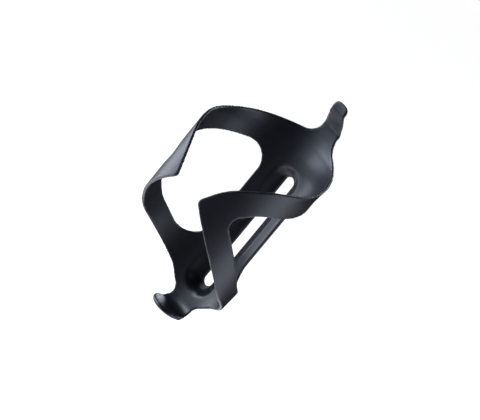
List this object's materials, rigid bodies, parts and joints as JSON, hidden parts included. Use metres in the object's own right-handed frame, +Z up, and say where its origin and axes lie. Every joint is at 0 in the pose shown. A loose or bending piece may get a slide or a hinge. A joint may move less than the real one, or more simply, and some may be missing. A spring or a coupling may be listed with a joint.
{
  "type": "water bottle cage",
  "caption": "Moulded carbon water bottle cage with a channelled spine, wrap-round side arms, a top tab and a curled bottom lip.",
  "frame": {"origin": "middle of the bolt slot, on the mounting face that lies against the bicycle's frame", "axes": "+Z up along the bottle's axis, +Y out of the mounting face towards the bicycle's frame, the open front looks along -Y, +X is the cage's right as seen from the front"},
  "size_m": [0.0788, 0.0803, 0.1569],
  "materials": {
    "carbon": "satin"
  },
  "bodies": {
    "root": {"channel_floor": "carbon", "channel_wall": "carbon", "spine_flank_left": "carbon", "spine_flank_right": "carbon", "wing_panel": "carbon", "wing_left": "carbon", "wing_right": "carbon", "top_tab": "carbon", "upper_arm_left": "carbon", "upper_arm_right": "carbon", "front_corner_left": "carbon", "front_corner_right": "carbon", "lower_arm_left": "carbon", "lower_arm_right": "carbon", "base_panel": "carbon", "base_left": "carbon", "base_right": "carbon", "bottom_lip": "carbon", "lip_bead": "carbon"}
  },
  "joints": []
}
